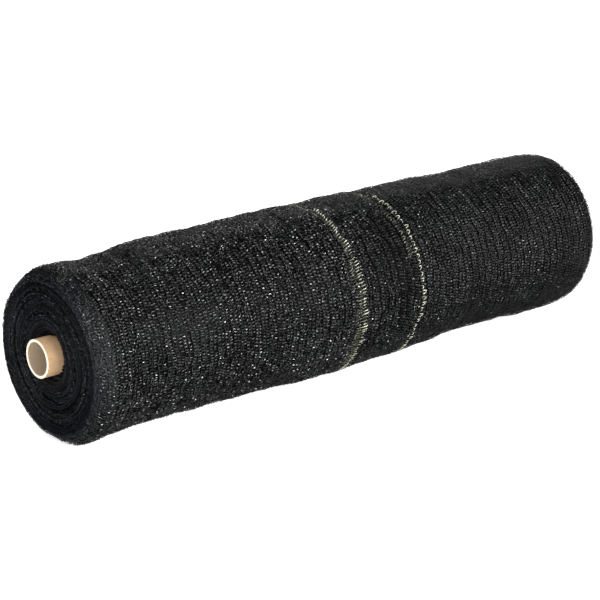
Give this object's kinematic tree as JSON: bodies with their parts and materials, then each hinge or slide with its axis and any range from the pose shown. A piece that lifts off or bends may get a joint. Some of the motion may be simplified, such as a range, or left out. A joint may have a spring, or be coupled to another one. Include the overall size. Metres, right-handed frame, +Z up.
{
  "type": "roll of shade netting on a cardboard tube",
  "caption": "Long soft roll of black knitted shade netting wound on a cardboard tube, with two pale zigzag stripes round it.",
  "frame": {"origin": "under the middle of the roll, on the surface it rests on", "axes": "+X along the roll, from its near end to its far end; +Z up; the front, seen in the picture, is at -Y"},
  "size_m": [1.044, 0.2742, 0.2697],
  "materials": {
    "netting": "glossy black plastic tape, knitted",
    "stripe": "pale yellow-green tape, knitted in a zigzag",
    "tube": "matt brown card with a pale cut edge"
  },
  "bodies": {
    "root": {"net_roll": "netting", "core_tube": "tube"}
  },
  "joints": []
}
